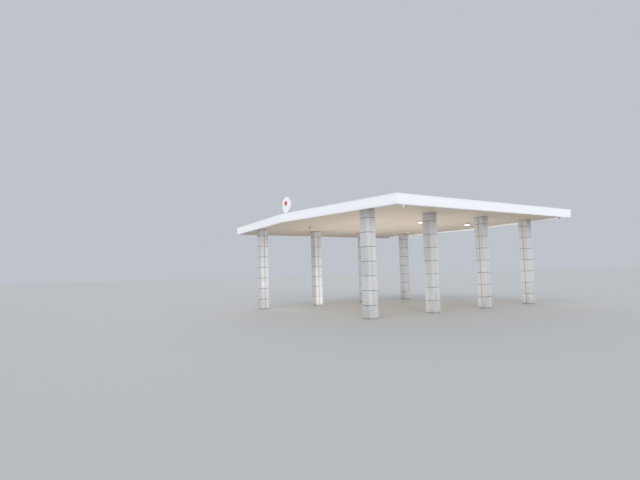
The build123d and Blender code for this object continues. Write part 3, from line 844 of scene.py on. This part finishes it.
def lens_acrylic(name, glow):
    material, tree, shader = start_material(name, LENS_CLEAR, 0.12)
    shader.inputs["Emission Strength"].default_value = glow
    spots = remap(tree, noise_on_piece(tree, 16.0, 1.0), 0.3, 0.7, 0.0, 1.0)
    tree.links.new(mix_colours(tree, spots, LAMP_WARM, LAMP_BRIGHT), shader.inputs["Emission Color"])
    tree.links.new(mix_colours(tree, spots, LENS_CLEAR, LENS_DUSTY), shader.inputs["Base Color"])
    return material


def drop_lens(centre, top, bottom, side, bottom_side):
    """A shallow upside-down pyramid whose flat underside is a grid of small prisms."""
    shape = bmesh.new()
    bmesh.ops.create_grid(shape, x_segments=LENS_CELLS, y_segments=LENS_CELLS, size=bottom_side / 2,
                          matrix=Matrix.Translation((*centre, bottom + PRISM_DEPTH)))
    rim = [edge for edge in shape.edges if edge.is_boundary]
    cells = shape.faces[:]
    walls = bmesh.ops.extrude_edge_only(shape, edges=rim)
    lifted = [item for item in walls["geom"] if isinstance(item, bmesh.types.BMVert)]
    bmesh.ops.scale(shape, vec=(side / bottom_side, side / bottom_side, 1), verts=lifted,
                    space=Matrix.Translation((-centre[0], -centre[1], 0)))
    for vert in lifted:
        vert.co.z = top
    tops = [edge for edge in shape.edges if edge.is_boundary]
    bmesh.ops.contextual_create(shape, geom=tops)
    peaks = bmesh.ops.poke(shape, faces=cells)
    for vert in peaks["verts"]:
        vert.co.z = bottom
    return shape


lightened_lamp_grey = lightened_die_cast_grey()
finish_node("lamp_housings", lightened_lamp_grey)
housing_low, housing_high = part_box("lamp_housings")
lens_low, lens_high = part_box("lamp_lenses")
lamp_x, lamp_y = housing_high.x - LAMP_SIDE / 2, housing_high.y - LAMP_SIDE / 2
lens_side = 2 * (lens_high.x - lamp_x)
lens_drop = lens_high.z - lens_low.z
lens_bottom = lens_side - 2 * lens_drop * math.tan(LENS_TAPER)
lit = lens_acrylic("lit_lens", LAMP_GLOW)
unlit = lens_acrylic("unlit_lens", 0.0)
frames = bmesh.new()
lamp_screws = bmesh.new()
downwards = Matrix.Rotation(math.pi, 4, "X")
for row, y in (("front", -lamp_y), ("back", lamp_y)):
    for number, x in enumerate((-lamp_x, 0.0, lamp_x), start=1):
        lens = drop_lens((x, y), lens_high.z, lens_low.z, lens_side, lens_bottom)
        acrylic = lit if row == "front" else unlit
        add_piece(lens, f"lens_{row}_{number}", [acrylic], ["lamp_lenses"])
        outer, inner = lens_side / 2 + FRAME_WIDTH, lens_side / 2
        for side_x, side_y in ((-1, 0), (1, 0), (0, -1), (0, 1)):
            middle = Vector((x + side_x * (outer + inner) / 2, y + side_y * (outer + inner) / 2, 0))
            half_x = FRAME_WIDTH / 2 if side_x else outer
            half_y = inner if side_x else FRAME_WIDTH / 2
            low = middle + Vector((-half_x, -half_y, housing_low.z - FRAME_DEPTH))
            high = middle + Vector((half_x, half_y, housing_low.z))
            add_box(frames, low, high)
        for side_x in (-1, 1):
            for side_y in (-1, 1):
                spot = Vector((x + side_x * (outer + inner) / 2, y + side_y * (outer + inner) / 2,
                               housing_low.z - FRAME_DEPTH))
                add_prism(lamp_screws, 12, LAMP_SCREW, spot, LAMP_SCREW / 2, downwards)
under = [edge for edge in frames.edges
         if all(vert.co.z < housing_low.z - FRAME_DEPTH / 2 for vert in edge.verts)]
bmesh.ops.bevel(frames, geom=under, offset=FRAME_EDGE, offset_type="OFFSET", segments=1, profile=0.5,
                affect="EDGES", material=-1)
add_piece(frames, "lens_frames", [lightened_lamp_grey])
add_piece(lamp_screws, "lens_frame_screws", [fasteners])


# Floor and backdrop: a plain pale floor to the horizon under a pale sky, with soft light from
# all round, a broad key light from the left of the camera, and light that the floor throws back
# up at the ceiling. None of it is part of the canopy.
FLOOR_SIZE = 900
FLOOR_GREY = (0.60, 0.61, 0.62)
SKY_LIGHT = (0.92, 0.96, 1.0)
SKY_STRENGTH = 0.52
SKY_SEEN = (0.52, 0.55, 0.60)
# Soft lights: name, strength, the side each comes from and its width in degrees
SOFT_LIGHTS = (("key", 0.75, (-0.80, -0.45, 0.75), 50),
               ("low", 1.9, (-0.40, -0.91, 0.12), 36),
               ("back", 0.5, (0.6, 0.8, 0.5), 50))
BOUNCE_POWER = 375
BOUNCE_SIZE = 10
BOUNCE_HEIGHT = 0.002

floor_shape = bmesh.new()
bmesh.ops.create_grid(floor_shape, x_segments=1, y_segments=1, size=FLOOR_SIZE)
floor_data = bpy.data.meshes.new("floor")
floor_shape.to_mesh(floor_data)
floor_shape.free()
floor_data.materials.append(start_material("floor", FLOOR_GREY, 0.9)[0])
floor = bpy.data.objects.new("floor", floor_data)
bpy.context.scene.collection.objects.link(floor)

world = bpy.data.worlds.new("studio")
world.use_nodes = True
bpy.context.scene.world = world
sky = world.node_tree
sky.nodes.clear()
lighting = sky.nodes.new("ShaderNodeBackground")
lighting.inputs["Color"].default_value = (*SKY_LIGHT, 1)
lighting.inputs["Strength"].default_value = SKY_STRENGTH
seen = sky.nodes.new("ShaderNodeBackground")
seen.inputs["Color"].default_value = (*SKY_SEEN, 1)
ray = sky.nodes.new("ShaderNodeLightPath")
direct = combine(sky, "MAXIMUM", ray.outputs["Is Camera Ray"], ray.outputs["Is Glossy Ray"])
direct = combine(sky, "MAXIMUM", direct, ray.outputs["Is Transmission Ray"])
choice = sky.nodes.new("ShaderNodeMixShader")
output = sky.nodes.new("ShaderNodeOutputWorld")
sky.links.new(direct, choice.inputs["Fac"])
sky.links.new(lighting.outputs["Background"], choice.inputs[1])
sky.links.new(seen.outputs["Background"], choice.inputs[2])
sky.links.new(choice.outputs["Shader"], output.inputs["Surface"])

for name, strength, side, width in SOFT_LIGHTS:
    light = bpy.data.lights.new(name, "SUN")
    light.energy = strength
    light.angle = math.radians(width)
    lamp = bpy.data.objects.new(name, light)
    lamp.rotation_euler = (-Vector(side)).to_track_quat("-Z", "Y").to_euler()
    bpy.context.scene.collection.objects.link(lamp)

bounce_light = bpy.data.lights.new("bounce", "AREA")
bounce_light.energy = BOUNCE_POWER
bounce_light.size = BOUNCE_SIZE
bounce = bpy.data.objects.new("bounce", bounce_light)
bounce.location = (0, 0, BOUNCE_HEIGHT)
bounce.rotation_euler = (math.pi, 0, 0)
bounce.visible_camera = False
bpy.context.scene.collection.objects.link(bounce)

scene = bpy.context.scene
scene.view_settings.view_transform = "Standard"


# Camera: stands well out to the left of the front, at head height, and looks slightly up at the
# front left corner. It is rolled a little, as the photograph is.
CAMERA_PLACE = (-21.366, -23.283, 2.162)
CAMERA_HEADING = math.radians(55.657)
CAMERA_PITCH = math.radians(4.031)
CAMERA_ROLL = math.radians(-1.573)
CAMERA_LENS, SENSOR_WIDTH = 27.47, 36
CAMERA_REACH = 3000

camera_data = bpy.data.cameras.new("camera")
camera_data.lens = CAMERA_LENS
camera_data.sensor_width = SENSOR_WIDTH
camera_data.clip_end = CAMERA_REACH
camera = bpy.data.objects.new("camera", camera_data)
camera.location = CAMERA_PLACE
looking = Vector((math.cos(CAMERA_HEADING) * math.cos(CAMERA_PITCH),
                  math.sin(CAMERA_HEADING) * math.cos(CAMERA_PITCH), math.sin(CAMERA_PITCH)))
roll = Matrix.Rotation(CAMERA_ROLL, 3, "Z").to_quaternion()
camera.rotation_mode = "QUATERNION"
camera.rotation_quaternion = looking.to_track_quat("-Z", "Y") @ roll
scene.collection.objects.link(camera)
scene.camera = camera
